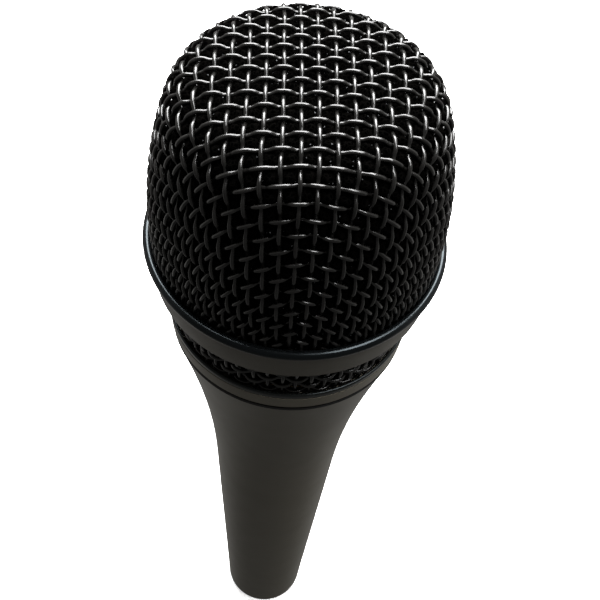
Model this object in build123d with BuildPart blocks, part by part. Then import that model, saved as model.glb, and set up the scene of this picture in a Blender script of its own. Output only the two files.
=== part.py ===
"""Handheld dynamic microphone, standing on its tail. Millimetres, +Z from the tail to the grille."""

from build123d import *
import math
import os

os.makedirs("parts", exist_ok=True)

# ---------------------------------------------------------------- driving dimensions

TOTAL_LENGTH = 186.0
PARTING_Z = 131.7                  # where the grille meets the handle
GAP = 0.1                          # between pieces that lie against each other

# handle outside: a straight taper, then a flare that grows as a parabola
TAIL_R = 10.2
TAPER = 0.04                       # radius gained per millimetre of height
FLARE_Z = 80.0
FLARE_R = TAIL_R + TAPER * FLARE_Z
HANDLE_TOP_Z = PARTING_Z - 0.4
HANDLE_TOP_R = 20.95
WALL = 2.0
TAIL_ROUND = 1.2
EDGE_BREAK = 0.3                   # chamfer on turned edges

# signal socket in the tail: the standard three-pin round connector
SOCKET_R = 8.1
LATCH_Z = 7.0
LATCH_WIDTH = 4.5
LATCH_HEIGHT = 3.0
LATCH_DEPTH = 1.2
INSERT_Z = 15.0
INSERT_TOP_Z = 26.0
INSERT_LIP_R = 7.3                 # lip that the insert stops against
INSERT_LIP = 2.0
BODY_BORE_R = 9.1                  # bore above the lip
SET_SCREW_Z = 21.0
SET_SCREW_R = 1.25
SET_SCREW_LENGTH = 3.6
PIN_R = 1.195
PIN_TIP_Z = 2.0
PIN_SHANK_R = 1.5
PIN_TOP_Z = 29.5
SOLDER_CUP_R = 1.0
SOLDER_CUP_DEPTH = 2.5
PIN_PLACES = {
    "contact_pin_1": (-3.81, 2.032),
    "contact_pin_2": (3.81, 2.032),
    "contact_pin_3": (0.0, -4.318),
}

# neck ring, whose outside thread holds the grille
SKIRT_R = 17.0
SKIRT_Z = 120.0
SKIRT_LEDGE_R = 15.2               # ledge in the handle under the skirt
THREAD_R = 18.4
THREAD_PITCH = 1.0
THREAD_TURNS = 3.0
THREAD_Z = HANDLE_TOP_Z + 0.8
NECK_TOP_Z = THREAD_Z + THREAD_PITCH * THREAD_TURNS
NECK_BORE_R = 14.6

# grille: two woven meshes, a band round the widest place, and the threaded collar
WIRE = 0.62
MESH = 2 * WIRE                    # thickness of a plain weave
DOME_R = 23.45
DOME_WIDEST_Z = 158.0
DOME_SIDE_RADIUS = 72.0
DOME_TOP_RADIUS = 96.0
DOME_SHOULDER = 8.0
DOME_FOOT_Z = 147.7
BAND_TOP_Z = 153.3
BAND_LIP = 0.8                     # radius of the half-round lip
BAND_R = 24.6
BAND_FOOT_Z = 145.6
BAND_FOOT_R = 23.2
WEB_FOOT_Z = 147.0                 # rib inside the band, between the two meshes
WEB_TOP_Z = 147.6
WEB_R = 21.3
CONE_TOP_R = 22.65
CONE_TOP_Z = 146.9
CONE_FOOT_R = 20.2
CONE_FOOT_Z = 134.8
COLLAR_FOOT_Z = PARTING_Z + 0.4
COLLAR_FOOT_R = 21.0
COLLAR_FACE_Z = 135.1
COLLAR_R = 21.2
COLLAR_TOP_Z = 136.4
FOAM = 3.0
CONE_FOAM = 1.5
CONE_FOAM_Z = 137.2

# capsule carrier and shock mounts
CARRIER_FOOT_Z = 124.0
CARRIER_TOP_Z = 145.0
CARRIER_BORE_R = 12.6
CARRIER_R = 14.45
FLANGE_R = 17.4
FLANGE = 1.4
CARRIER_SCREWS = 3
CARRIER_SCREW_PLACES_R = 15.9
CARRIER_SCREW_HOLE_R = 0.8
CARRIER_SCREW_LENGTH = 3.5
CARRIER_SCREW_HEAD_R = 1.15
CARRIER_SCREW_HEAD = 0.8
SHOCK_HEIGHT = 4.0
LOWER_SHOCK_Z = 126.0

# capsule
CAPSULE_Z = CARRIER_TOP_Z + SHOCK_HEIGHT
CAPSULE_R = 16.0
CAPSULE_TOP_Z = CAPSULE_Z + 14.0
CHAMBER_R = 10.3
CHAMBER_WALL = 0.8
CHAMBER_Z = 118.0
YOKE_Z = CAPSULE_Z + 1.5
YOKE_R = 12.0
YOKE_BORE_R = 9.0
YOKE_FLOOR = 2.0
MAGNET_R = 7.7
MAGNET = 5.0
POLE_R = 8.0
POLE = 2.0
AIR_HOLE_R = 1.5
MAGNET_GAP_Z = YOKE_Z + YOKE_FLOOR + MAGNET + POLE      # top of the gap that the coil moves in
COIL_R = 8.5
COIL_WALL = 0.3
COIL_HEIGHT = 4.0
RIM_Z = MAGNET_GAP_Z + 1.0         # plane of the diaphragm's rim
DOME_RISE = 2.2
SKIN = 0.15
SURROUND_R = 14.5
LEDGE_R = 13.2
CAP_TOP_Z = CAPSULE_TOP_Z + 2.4
CAP_TOP = 1.2
CAP_HOLE_R = 1.1
CAP_HOLE_RINGS = {4.2: 6, 8.0: 12, 11.6: 18}            # radius of the ring: number of holes
PORTS = 12
PORT_R = 0.5
CLOTH = 0.35
FELT = 9.0
HUM_COIL_Z = 136.0
HUM_COIL_HEIGHT = 5.0
BOARD = 1.4
LEAD_R = 0.6


def save(piece, name):
    """Label a finished piece and write it under its node's name."""
    piece.label = name
    export_step(piece, f"parts/{name}.step")


# ---------------------------------------------------------------- handle

with BuildPart() as handle_shell:
    flare_middle_z = (FLARE_Z + HANDLE_TOP_Z) / 2
    flare_middle_r = FLARE_R + TAPER * (flare_middle_z - FLARE_Z)
    with BuildSketch(Plane.XZ):
        with BuildLine():
            Polyline((SOCKET_R, 0), (TAIL_R, 0), (FLARE_R, FLARE_Z))
            Bezier((FLARE_R, FLARE_Z), (flare_middle_r, flare_middle_z), (HANDLE_TOP_R, HANDLE_TOP_Z))
            Polyline(
                (HANDLE_TOP_R, HANDLE_TOP_Z),
                (SKIRT_R, HANDLE_TOP_Z),
                (SKIRT_R, SKIRT_Z),
                (SKIRT_LEDGE_R, SKIRT_Z),
                (FLARE_R - WALL, FLARE_Z),
                (BODY_BORE_R, INSERT_TOP_Z + 2 * INSERT_LIP),
                (INSERT_LIP_R, INSERT_TOP_Z + INSERT_LIP),
                (INSERT_LIP_R, INSERT_TOP_Z),
                (SOCKET_R, INSERT_TOP_Z),
                (SOCKET_R, 0),
            )
        make_face()
    revolve(axis=Axis.Z)
    tail_edges = handle_shell.edges().filter_by(GeomType.CIRCLE).group_by(Axis.Z)[0]
    fillet(tail_edges.sort_by(SortBy.RADIUS)[-1], TAIL_ROUND)
    top_edges = handle_shell.edges().filter_by(GeomType.CIRCLE).group_by(Axis.Z)[-1]
    chamfer(top_edges.sort_by(SortBy.RADIUS)[-1], EDGE_BREAK)
    # pocket in the socket wall for the plug's latch, cut from outside the bore
    with BuildSketch(Plane.XZ.offset(-SOCKET_R - LATCH_DEPTH + 0.4)):
        with Locations((0, LATCH_Z)):
            Rectangle(LATCH_WIDTH, LATCH_HEIGHT)
    extrude(amount=LATCH_DEPTH + 0.8, mode=Mode.SUBTRACT)
    # hole in the back for the insert's set screw
    with BuildSketch(Plane.XZ.offset(-TAIL_R - 4)):
        with Locations((0, SET_SCREW_Z)):
            Circle(SET_SCREW_R + 0.05)
    extrude(amount=8.0, mode=Mode.SUBTRACT)
save(handle_shell.part, "handle_shell")

with BuildPart() as connector_insert:
    with BuildSketch(Plane.XY.offset(INSERT_Z)):
        Circle(SOCKET_R - 0.05)
        with Locations(*PIN_PLACES.values()):
            Circle(PIN_SHANK_R + 0.02, mode=Mode.SUBTRACT)
    extrude(amount=INSERT_TOP_Z - INSERT_Z - 0.02)
    with BuildSketch(Plane.XZ.offset(-SOCKET_R - 1)):
        with Locations((0, SET_SCREW_Z)):
            Circle(SET_SCREW_R + 0.05)
    extrude(amount=2.6, mode=Mode.SUBTRACT)
save(connector_insert.part, "connector_insert")

for pin_name, pin_place in PIN_PLACES.items():
    with BuildPart() as contact_pin:
        with BuildSketch(Plane.XY.offset(PIN_TIP_Z)):
            with Locations(pin_place):
                Circle(PIN_R)
        extrude(amount=INSERT_Z - PIN_TIP_Z)
        fillet(contact_pin.edges().group_by(Axis.Z)[0], 0.6)
        with BuildSketch(Plane.XY.offset(INSERT_Z)):
            with Locations(pin_place):
                Circle(PIN_SHANK_R)
        extrude(amount=PIN_TOP_Z - INSERT_Z)
        with BuildSketch(Plane.XY.offset(PIN_TOP_Z - SOLDER_CUP_DEPTH)):
            with Locations(pin_place):
                Circle(SOLDER_CUP_R)
        extrude(amount=SOLDER_CUP_DEPTH, mode=Mode.SUBTRACT)
    save(contact_pin.part, pin_name)

with BuildPart() as insert_screw:
    with BuildSketch(Plane.XZ.offset(-SOCKET_R + 1.3)):
        with Locations((0, SET_SCREW_Z)):
            Circle(SET_SCREW_R)
    extrude(amount=-SET_SCREW_LENGTH)
    with BuildSketch(Plane.XZ.offset(-SOCKET_R - 2.3)):
        with Locations((0, SET_SCREW_Z)):
            Rectangle(2.6, 0.5)
    extrude(amount=0.7, mode=Mode.SUBTRACT)
save(insert_screw.part, "insert_screw")

with BuildPart() as earth_spring:
    # bent strip: flat foot on the insert beside pin 1, upright leg against the lip above it
    with BuildSketch(Plane.XZ):
        with BuildLine():
            Polyline(
                (-7.15, INSERT_TOP_Z + INSERT_LIP),
                (-7.15, INSERT_TOP_Z),
                (-5.4, INSERT_TOP_Z),
                (-5.4, INSERT_TOP_Z + 0.3),
                (-6.85, INSERT_TOP_Z + 0.3),
                (-6.85, INSERT_TOP_Z + INSERT_LIP),
                close=True,
            )
        make_face()
    extrude(amount=-1.2)
save(earth_spring.part, "earth_spring")

with BuildPart() as neck_ring:
    with BuildSketch(Plane.XZ):
        with BuildLine():
            Polyline(
                (NECK_BORE_R, SKIRT_Z + GAP),
                (SKIRT_R - 0.02, SKIRT_Z + GAP),
                (SKIRT_R - 0.02, HANDLE_TOP_Z),
                (THREAD_R - 0.7, HANDLE_TOP_Z),
                (THREAD_R - 0.7, THREAD_Z),
                (THREAD_R, THREAD_Z),
                (THREAD_R, NECK_TOP_Z),
                (NECK_BORE_R, NECK_TOP_Z),
                close=True,
            )
        make_face()
    revolve(axis=Axis.Z)
    chamfer(neck_ring.edges().group_by(Axis.Z)[-1].sort_by(SortBy.RADIUS)[-1], EDGE_BREAK)
    with Locations(Plane.XY.offset(NECK_TOP_Z)):
        with PolarLocations(CARRIER_SCREW_PLACES_R, CARRIER_SCREWS):
            Hole(CARRIER_SCREW_HOLE_R, depth=CARRIER_SCREW_LENGTH + 0.5)
save(neck_ring.part, "neck_ring")

with BuildPart() as capsule_carrier:
    with BuildSketch(Plane.XZ):
        with BuildLine():
            Polyline(
                (CARRIER_BORE_R, CARRIER_FOOT_Z),
                (CARRIER_R, CARRIER_FOOT_Z),
                (CARRIER_R, NECK_TOP_Z),
                (FLANGE_R, NECK_TOP_Z),
                (FLANGE_R, NECK_TOP_Z + FLANGE),
                (CARRIER_R, NECK_TOP_Z + FLANGE),
                (CARRIER_R, CARRIER_TOP_Z),
                (CARRIER_BORE_R, CARRIER_TOP_Z),
                close=True,
            )
        make_face()
    revolve(axis=Axis.Z)
    with Locations(Plane.XY.offset(NECK_TOP_Z + FLANGE)):
        with PolarLocations(CARRIER_SCREW_PLACES_R, CARRIER_SCREWS):
            Hole(CARRIER_SCREW_HOLE_R, depth=FLANGE)
save(capsule_carrier.part, "capsule_carrier")

with BuildPart() as carrier_screws:
    with BuildSketch(Plane.XY.offset(NECK_TOP_Z - CARRIER_SCREW_LENGTH)):
        with PolarLocations(CARRIER_SCREW_PLACES_R, CARRIER_SCREWS):
            Circle(CARRIER_SCREW_HOLE_R - 0.02)
    extrude(amount=CARRIER_SCREW_LENGTH + FLANGE)
    with BuildSketch(Plane.XY.offset(NECK_TOP_Z + FLANGE)):
        with PolarLocations(CARRIER_SCREW_PLACES_R, CARRIER_SCREWS):
            Circle(CARRIER_SCREW_HEAD_R)
    extrude(amount=CARRIER_SCREW_HEAD)
save(carrier_screws.part, "carrier_screws")

with BuildPart() as shock_mount_upper:
    shock_r = CARRIER_R + 0.9
    with BuildSketch(Plane.XZ):
        with BuildLine():
            Line((CARRIER_BORE_R, CARRIER_TOP_Z), (shock_r, CARRIER_TOP_Z))
            ThreePointArc(
                (shock_r, CARRIER_TOP_Z),
                (CARRIER_R, CARRIER_TOP_Z + SHOCK_HEIGHT / 2),
                (shock_r, CAPSULE_Z),
            )
            Line((shock_r, CAPSULE_Z), (CARRIER_BORE_R, CAPSULE_Z))
            Line((CARRIER_BORE_R, CAPSULE_Z), (CARRIER_BORE_R, CARRIER_TOP_Z))
        make_face()
    revolve(axis=Axis.Z)
save(shock_mount_upper.part, "shock_mount_upper")

with BuildPart() as shock_mount_lower:
    with BuildSketch(Plane.XY.offset(LOWER_SHOCK_Z)):
        Circle(CARRIER_BORE_R)
        Circle(CHAMBER_R, mode=Mode.SUBTRACT)
    extrude(amount=SHOCK_HEIGHT)
save(shock_mount_lower.part, "shock_mount_lower")

# ---------------------------------------------------------------- grille

with BuildPart() as parting_gasket:
    with BuildSketch(Plane.XY.offset(HANDLE_TOP_Z + GAP)):
        Circle(COLLAR_FOOT_R - 0.6)
        Circle(THREAD_R + GAP, mode=Mode.SUBTRACT)
    extrude(amount=COLLAR_FOOT_Z - HANDLE_TOP_Z - 2 * GAP)
save(parting_gasket.part, "parting_gasket")

with BuildPart() as grille_collar:
    thread_bore_r = THREAD_R + GAP
    with BuildSketch(Plane.XZ):
        with BuildLine():
            Polyline(
                (thread_bore_r, COLLAR_FOOT_Z),
                (COLLAR_FOOT_R, COLLAR_FOOT_Z),
                (COLLAR_R, COLLAR_FACE_Z),
                (COLLAR_R - 0.05, COLLAR_TOP_Z - 0.5),
            )
            ThreePointArc(
                (COLLAR_R - 0.05, COLLAR_TOP_Z - 0.5),
                (COLLAR_R - 0.3, COLLAR_TOP_Z),
                (COLLAR_R - 0.55, COLLAR_TOP_Z - 0.4),
            )
            Polyline(
                (COLLAR_R - 0.55, COLLAR_TOP_Z - 0.4),
                (CONE_FOOT_R + 0.2, CONE_FOOT_Z - GAP),
                (thread_bore_r, CONE_FOOT_Z - GAP),
                (thread_bore_r, COLLAR_FOOT_Z),
            )
        make_face()
    revolve(axis=Axis.Z)
    foot_edges = grille_collar.edges().filter_by(GeomType.CIRCLE).group_by(Axis.Z)[0]
    chamfer(foot_edges.sort_by(SortBy.RADIUS)[-1], 0.25)
save(grille_collar.part, "grille_collar")

with BuildPart() as lower_mesh:
    with BuildSketch(Plane.XZ):
        with BuildLine():
            Polyline(
                (CONE_FOOT_R, CONE_FOOT_Z),
                (CONE_TOP_R, CONE_TOP_Z),
                (CONE_TOP_R - MESH, CONE_TOP_Z),
                (CONE_FOOT_R - MESH, CONE_FOOT_Z),
                close=True,
            )
        make_face()
    revolve(axis=Axis.Z)
save(lower_mesh.part, "lower_mesh")

with BuildPart() as grille_band:
    slot_r = CONE_TOP_R + 0.15
    lip_r, lip_z = BAND_R - BAND_LIP, BAND_TOP_Z - BAND_LIP
    face_r = lip_r + BAND_LIP * math.cos(math.radians(60))
    face_z = lip_z - BAND_LIP * math.sin(math.radians(60))
    inner_r = lip_r - BAND_LIP * math.cos(math.radians(60))
    inner_z = lip_z + BAND_LIP * math.sin(math.radians(60))
    with BuildSketch(Plane.XZ):
        with BuildLine():
            Polyline((slot_r, BAND_FOOT_Z), (BAND_FOOT_R, BAND_FOOT_Z), (face_r, face_z))
            ThreePointArc((face_r, face_z), (BAND_R, lip_z), (inner_r, inner_z))
            Polyline(
                (inner_r, inner_z),
                (slot_r + 0.15, WEB_TOP_Z),
                (WEB_R, WEB_TOP_Z),
                (WEB_R, WEB_FOOT_Z),
                (slot_r, WEB_FOOT_Z),
                (slot_r, BAND_FOOT_Z),
            )
        make_face()
    revolve(axis=Axis.Z)
save(grille_band.part, "grille_band")


def dome_half(inset, foot_z):
    """Points of the dome's half outline, inset from its outside: side arc, shoulder, flat top."""
    side = (DOME_R - DOME_SIDE_RADIUS, DOME_WIDEST_Z)
    top = (0.0, TOTAL_LENGTH - DOME_TOP_RADIUS)
    # the shoulder's centre, where its arc is tangent inside both the side arc and the top arc
    span = math.hypot(side[0], side[1] - top[1])
    unit = (side[0] / span, (side[1] - top[1]) / span)
    to_side = DOME_SIDE_RADIUS - DOME_SHOULDER
    to_top = DOME_TOP_RADIUS - DOME_SHOULDER
    along = (to_top**2 - to_side**2 + span**2) / (2 * span)
    across = math.sqrt(to_top**2 - along**2)
    shoulder = (along * unit[0] + across * unit[1], top[1] + along * unit[1] - across * unit[0])
    side_end = math.atan2(shoulder[1] - side[1], shoulder[0] - side[0])
    top_start = math.atan2(shoulder[1] - top[1], shoulder[0])
    side_r = DOME_SIDE_RADIUS - inset
    foot = math.asin((foot_z - DOME_WIDEST_Z) / side_r)

    def stretch(centre, radius, first, last):
        """Start, middle and end of one arc."""
        angles = (first, (first + last) / 2, last)
        return [(centre[0] + radius * math.cos(a), centre[1] + radius * math.sin(a)) for a in angles]

    return [
        stretch(side, side_r, foot, side_end),
        stretch(shoulder, DOME_SHOULDER - inset, side_end, top_start),
        stretch(top, DOME_TOP_RADIUS - inset, top_start, math.pi / 2),
    ]


DOME_SHELLS = {
    # node: outer inset, inner inset, height of the foot
    "dome_mesh": (0.0, MESH, DOME_FOOT_Z),
    "foam_windscreen": (MESH + GAP, MESH + GAP + FOAM, DOME_FOOT_Z + 1.0),
}

for shell_name, (outer_inset, inner_inset, shell_foot_z) in DOME_SHELLS.items():
    outer_arcs = dome_half(outer_inset, shell_foot_z)
    inner_arcs = dome_half(inner_inset, shell_foot_z)
    with BuildPart() as dome_shell:
        with BuildSketch(Plane.XZ):
            with BuildLine():
                for start, middle, end in outer_arcs + inner_arcs:
                    ThreePointArc(start, middle, end)
                Line(outer_arcs[0][0], inner_arcs[0][0])
                Line(outer_arcs[-1][-1], inner_arcs[-1][-1])
            make_face()
        revolve(axis=Axis.Z)
    save(dome_shell.part, shell_name)

with BuildPart() as cone_foam:
    cone_slope = (CONE_TOP_R - CONE_FOOT_R) / (CONE_TOP_Z - CONE_FOOT_Z)
    foam_top_z = WEB_FOOT_Z - 0.4
    foam_foot_r = CONE_FOOT_R + cone_slope * (CONE_FOAM_Z - CONE_FOOT_Z) - MESH - GAP
    foam_top_r = CONE_FOOT_R + cone_slope * (foam_top_z - CONE_FOOT_Z) - MESH - GAP
    with BuildSketch(Plane.XZ):
        with BuildLine():
            Polyline(
                (foam_foot_r, CONE_FOAM_Z),
                (foam_top_r, foam_top_z),
                (foam_top_r - CONE_FOAM, foam_top_z),
                (foam_foot_r - CONE_FOAM, CONE_FOAM_Z),
                close=True,
            )
        make_face()
    revolve(axis=Axis.Z)
save(cone_foam.part, "cone_foam")

# ---------------------------------------------------------------- capsule

with BuildPart() as capsule_housing:
    floor_bore_r = CHAMBER_R + 0.05
    yoke_seat_r = YOKE_R + 0.05
    with BuildSketch(Plane.XZ):
        with BuildLine():
            Polyline(
                (floor_bore_r, CAPSULE_Z),
                (CAPSULE_R, CAPSULE_Z),
                (CAPSULE_R, CAPSULE_TOP_Z),
                (SURROUND_R + 0.1, CAPSULE_TOP_Z),
                (SURROUND_R + 0.1, RIM_Z - 0.05),
                (LEDGE_R, RIM_Z - 0.05),
                (LEDGE_R, MAGNET_GAP_Z - 1.0),
                (yoke_seat_r, MAGNET_GAP_Z - 1.0),
                (yoke_seat_r, YOKE_Z),
                (floor_bore_r, YOKE_Z),
                close=True,
            )
        make_face()
    revolve(axis=Axis.Z)
    # ports round the side that let sound reach the diaphragm's rear
    for port in range(PORTS):
        turn = 2 * math.pi * port / PORTS
        outward = (math.cos(turn), math.sin(turn), 0)
        port_mouth = (CAPSULE_R * outward[0], CAPSULE_R * outward[1], MAGNET_GAP_Z)
        with Locations(Plane(origin=port_mouth, z_dir=outward)):
            Hole(PORT_R, depth=CAPSULE_R - LEDGE_R + 0.2)
save(capsule_housing.part, "capsule_housing")

with BuildPart() as magnet_yoke:
    with BuildSketch(Plane.XZ):
        with BuildLine():
            Polyline(
                (AIR_HOLE_R, YOKE_Z),
                (YOKE_R, YOKE_Z),
                (YOKE_R, MAGNET_GAP_Z),
                (YOKE_BORE_R, MAGNET_GAP_Z),
                (YOKE_BORE_R, YOKE_Z + YOKE_FLOOR),
                (AIR_HOLE_R, YOKE_Z + YOKE_FLOOR),
                close=True,
            )
        make_face()
    revolve(axis=Axis.Z)
    chamfer(magnet_yoke.edges().group_by(Axis.Z)[-1].sort_by(SortBy.RADIUS)[-1], 0.8)
save(magnet_yoke.part, "magnet_yoke")

with BuildPart() as magnet:
    with BuildSketch(Plane.XY.offset(YOKE_Z + YOKE_FLOOR)):
        Circle(MAGNET_R)
        Circle(AIR_HOLE_R, mode=Mode.SUBTRACT)
    extrude(amount=MAGNET)
    chamfer(magnet.edges(), 0.2)
save(magnet.part, "magnet")

with BuildPart() as pole_piece:
    with BuildSketch(Plane.XY.offset(MAGNET_GAP_Z - POLE)):
        Circle(POLE_R)
        Circle(AIR_HOLE_R, mode=Mode.SUBTRACT)
    extrude(amount=POLE)
save(pole_piece.part, "pole_piece")

with BuildPart() as voice_coil:
    with BuildSketch(Plane.XY.offset(RIM_Z - COIL_HEIGHT)):
        Circle(COIL_R + COIL_WALL / 2)
        Circle(COIL_R - COIL_WALL / 2, mode=Mode.SUBTRACT)
    extrude(amount=COIL_HEIGHT)
save(voice_coil.part, "voice_coil")

with BuildPart() as diaphragm:
    # shallow dome whose rim stands on the voice coil
    rim_r = COIL_R + COIL_WALL / 2
    sphere_r = (rim_r**2 + DOME_RISE**2) / (2 * DOME_RISE)
    middle_drop = sphere_r - math.sqrt(sphere_r**2 - rim_r**2 / 4)
    with BuildSketch(Plane.XZ):
        with BuildLine():
            for height in (RIM_Z, RIM_Z + SKIN):
                ThreePointArc(
                    (rim_r, height),
                    (rim_r / 2, height + DOME_RISE - middle_drop),
                    (0, height + DOME_RISE),
                )
            Line((rim_r, RIM_Z), (rim_r, RIM_Z + SKIN))
            Line((0, RIM_Z + DOME_RISE), (0, RIM_Z + DOME_RISE + SKIN))
        make_face()
    revolve(axis=Axis.Z)
save(diaphragm.part, "diaphragm")

with BuildPart() as diaphragm_surround:
    # half-round roll between the dome and the flat rim that is glued to the housing's ledge
    roll_in_r = COIL_R + COIL_WALL / 2 + 0.05
    with BuildSketch(Plane.XZ):
        with BuildLine():
            for height in (0.0, SKIN):
                ThreePointArc(
                    (roll_in_r, RIM_Z + height),
                    ((roll_in_r + LEDGE_R) / 2, RIM_Z + 0.9 + height),
                    (LEDGE_R, RIM_Z + height),
                )
                Line((LEDGE_R, RIM_Z + height), (SURROUND_R, RIM_Z + height))
            Line((roll_in_r, RIM_Z), (roll_in_r, RIM_Z + SKIN))
            Line((SURROUND_R, RIM_Z), (SURROUND_R, RIM_Z + SKIN))
        make_face()
    revolve(axis=Axis.Z)
save(diaphragm_surround.part, "diaphragm_surround")

with BuildPart() as clamp_ring:
    with BuildSketch(Plane.XY.offset(RIM_Z + SKIN + 0.05)):
        Circle(SURROUND_R)
        Circle(LEDGE_R + 0.2, mode=Mode.SUBTRACT)
    extrude(amount=CAPSULE_TOP_Z - RIM_Z - SKIN - 0.05)
save(clamp_ring.part, "clamp_ring")

with BuildPart() as front_cap:
    with BuildSketch(Plane.XY.offset(CAPSULE_TOP_Z)):
        Circle(CAPSULE_R)
    extrude(amount=CAP_TOP_Z - CAPSULE_TOP_Z)
    with BuildSketch(Plane.XY.offset(CAPSULE_TOP_Z)):
        Circle(LEDGE_R)
    extrude(amount=CAP_TOP_Z - CAPSULE_TOP_Z - CAP_TOP, mode=Mode.SUBTRACT)
    fillet(front_cap.edges().group_by(Axis.Z)[-1], 0.8)
    with Locations(Plane.XY.offset(CAP_TOP_Z)):
        Hole(CAP_HOLE_R, depth=CAP_TOP + 0.1)
        for ring_r, hole_count in CAP_HOLE_RINGS.items():
            with PolarLocations(ring_r, hole_count):
                Hole(CAP_HOLE_R, depth=CAP_TOP + 0.1)
save(front_cap.part, "front_cap")

with BuildPart() as front_cloth:
    with BuildSketch(Plane.XY.offset(CAP_TOP_Z + 0.02)):
        Circle(CAPSULE_R - 1.6)
    extrude(amount=CLOTH)
save(front_cloth.part, "front_cloth")

with BuildPart() as rear_chamber:
    with BuildSketch(Plane.XY.offset(CHAMBER_Z)):
        Circle(CHAMBER_R)
    extrude(amount=YOKE_Z - CHAMBER_Z)
    with BuildSketch(Plane.XY.offset(CHAMBER_Z + CHAMBER_WALL)):
        Circle(CHAMBER_R - CHAMBER_WALL)
    extrude(amount=YOKE_Z - CHAMBER_Z - CHAMBER_WALL, mode=Mode.SUBTRACT)
save(rear_chamber.part, "rear_chamber")

with BuildPart() as rear_felt:
    with BuildSketch(Plane.XY.offset(CHAMBER_Z + CHAMBER_WALL)):
        Circle(CHAMBER_R - CHAMBER_WALL - 0.02)
    extrude(amount=FELT)
save(rear_felt.part, "rear_felt")

with BuildPart() as hum_coil:
    with BuildSketch(Plane.XY.offset(HUM_COIL_Z)):
        Circle(CARRIER_BORE_R - 0.6)
        Circle(CHAMBER_R + 0.02, mode=Mode.SUBTRACT)
    extrude(amount=HUM_COIL_HEIGHT)
save(hum_coil.part, "hum_coil")

with BuildPart() as terminal_board:
    with BuildSketch(Plane.XY.offset(CHAMBER_Z - BOARD)):
        Circle(CHAMBER_R - 1.3)
    extrude(amount=BOARD)
save(terminal_board.part, "terminal_board")

# ---------------------------------------------------------------- leads from board to pins

LEAD_FOOT_Z = PIN_TOP_Z - SOLDER_CUP_DEPTH + 0.3
LEAD_TOP_Z = CHAMBER_Z - BOARD - 0.05
LEAD_ROUTES = {
    # node: (pin, points between the board and the pin, from the top)
    "signal_lead_hot": ("contact_pin_2", [(4.0, 2.4, 98), (6.6, 1.2, 78), (4.6, 3.6, 58), (4.0, 2.0, 42)]),
    "signal_lead_cold": ("contact_pin_3", [(0.4, -4.6, 100), (1.8, -6.8, 80), (-0.8, -5.0, 61), (0, -4.5, 42)]),
    "earth_lead": ("contact_pin_1", [(-4.2, 2.6, 97), (-5.4, 5.0, 76), (-5.2, 1.6, 57), (-4.0, 2.2, 41)]),
}


def bend_radii(points):
    """Largest even radius that the shorter run at each corner leaves room for."""
    radii = []
    for before, corner, after in zip(points, points[1:], points[2:]):
        run_in = Vector(*corner) - Vector(*before)
        run_out = Vector(*after) - Vector(*corner)
        half_turn = math.radians(run_in.get_angle(run_out)) / 2
        radii.append(0.45 * min(run_in.length, run_out.length) / math.tan(half_turn))
    return radii


for lead_name, (pin_name, middle_points) in LEAD_ROUTES.items():
    pin_x, pin_y = PIN_PLACES[pin_name]
    board_end = (middle_points[0][0] * 0.95, middle_points[0][1] + 0.5, LEAD_TOP_Z)
    route = [board_end, *middle_points, (pin_x, pin_y, LEAD_FOOT_Z)]
    corner_radii = bend_radii(route)
    with BuildPart() as lead:
        with BuildLine() as lead_path:
            FilletPolyline(*route, radius=corner_radii)
        centre_line = lead_path.wires()[0]
        with BuildSketch(Plane(centre_line @ 0, z_dir=centre_line % 0)):
            Circle(LEAD_R)
        sweep(path=centre_line)
    expected_volume = centre_line.length * math.pi * LEAD_R**2
    print(lead_name, "radii", [round(radius) for radius in corner_radii])
    print(lead_name, "volume", round(lead.part.volume, 1), "expected", round(expected_volume, 1))
    save(lead.part, lead_name)
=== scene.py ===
"""Looks of a handheld dynamic microphone: woven grille, foam, thread, paint, a plain pale studio.

Everything is in metres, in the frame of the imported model: +Z from the tail to the grille,
-Y towards the camera.
"""

import math

import bpy
import numpy as np
from mathutils import Matrix, Vector


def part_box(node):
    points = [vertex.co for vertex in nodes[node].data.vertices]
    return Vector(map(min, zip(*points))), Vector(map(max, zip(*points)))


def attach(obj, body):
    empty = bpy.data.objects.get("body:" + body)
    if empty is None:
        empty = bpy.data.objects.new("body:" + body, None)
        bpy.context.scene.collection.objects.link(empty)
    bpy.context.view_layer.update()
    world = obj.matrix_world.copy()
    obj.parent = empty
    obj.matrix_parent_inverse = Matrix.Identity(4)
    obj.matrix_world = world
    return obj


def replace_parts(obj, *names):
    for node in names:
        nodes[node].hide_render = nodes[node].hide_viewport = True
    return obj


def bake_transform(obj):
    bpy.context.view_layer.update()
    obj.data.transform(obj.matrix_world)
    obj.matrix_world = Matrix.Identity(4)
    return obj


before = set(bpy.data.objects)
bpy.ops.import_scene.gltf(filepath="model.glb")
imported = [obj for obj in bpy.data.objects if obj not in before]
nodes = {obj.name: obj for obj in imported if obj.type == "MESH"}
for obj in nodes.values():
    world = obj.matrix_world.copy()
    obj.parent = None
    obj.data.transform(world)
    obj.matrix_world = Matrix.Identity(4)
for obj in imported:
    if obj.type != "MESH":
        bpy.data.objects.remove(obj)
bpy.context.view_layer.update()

MM = 0.001
SEED = 7

# ---------------------------------------------------------------- camera

CAMERA_HEIGHT = 263.0 * MM          # above the surface that the microphone stands on
CAMERA_DISTANCE = 95.6 * MM         # in front of the microphone's axis
CAMERA_PITCH = math.radians(53.43)  # below the horizon
CAMERA_YAW = math.radians(1.11)     # towards +X
CAMERA_ROLL = math.radians(6.35)
CAMERA_LENS = 54.0
SENSOR = 36.0


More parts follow.
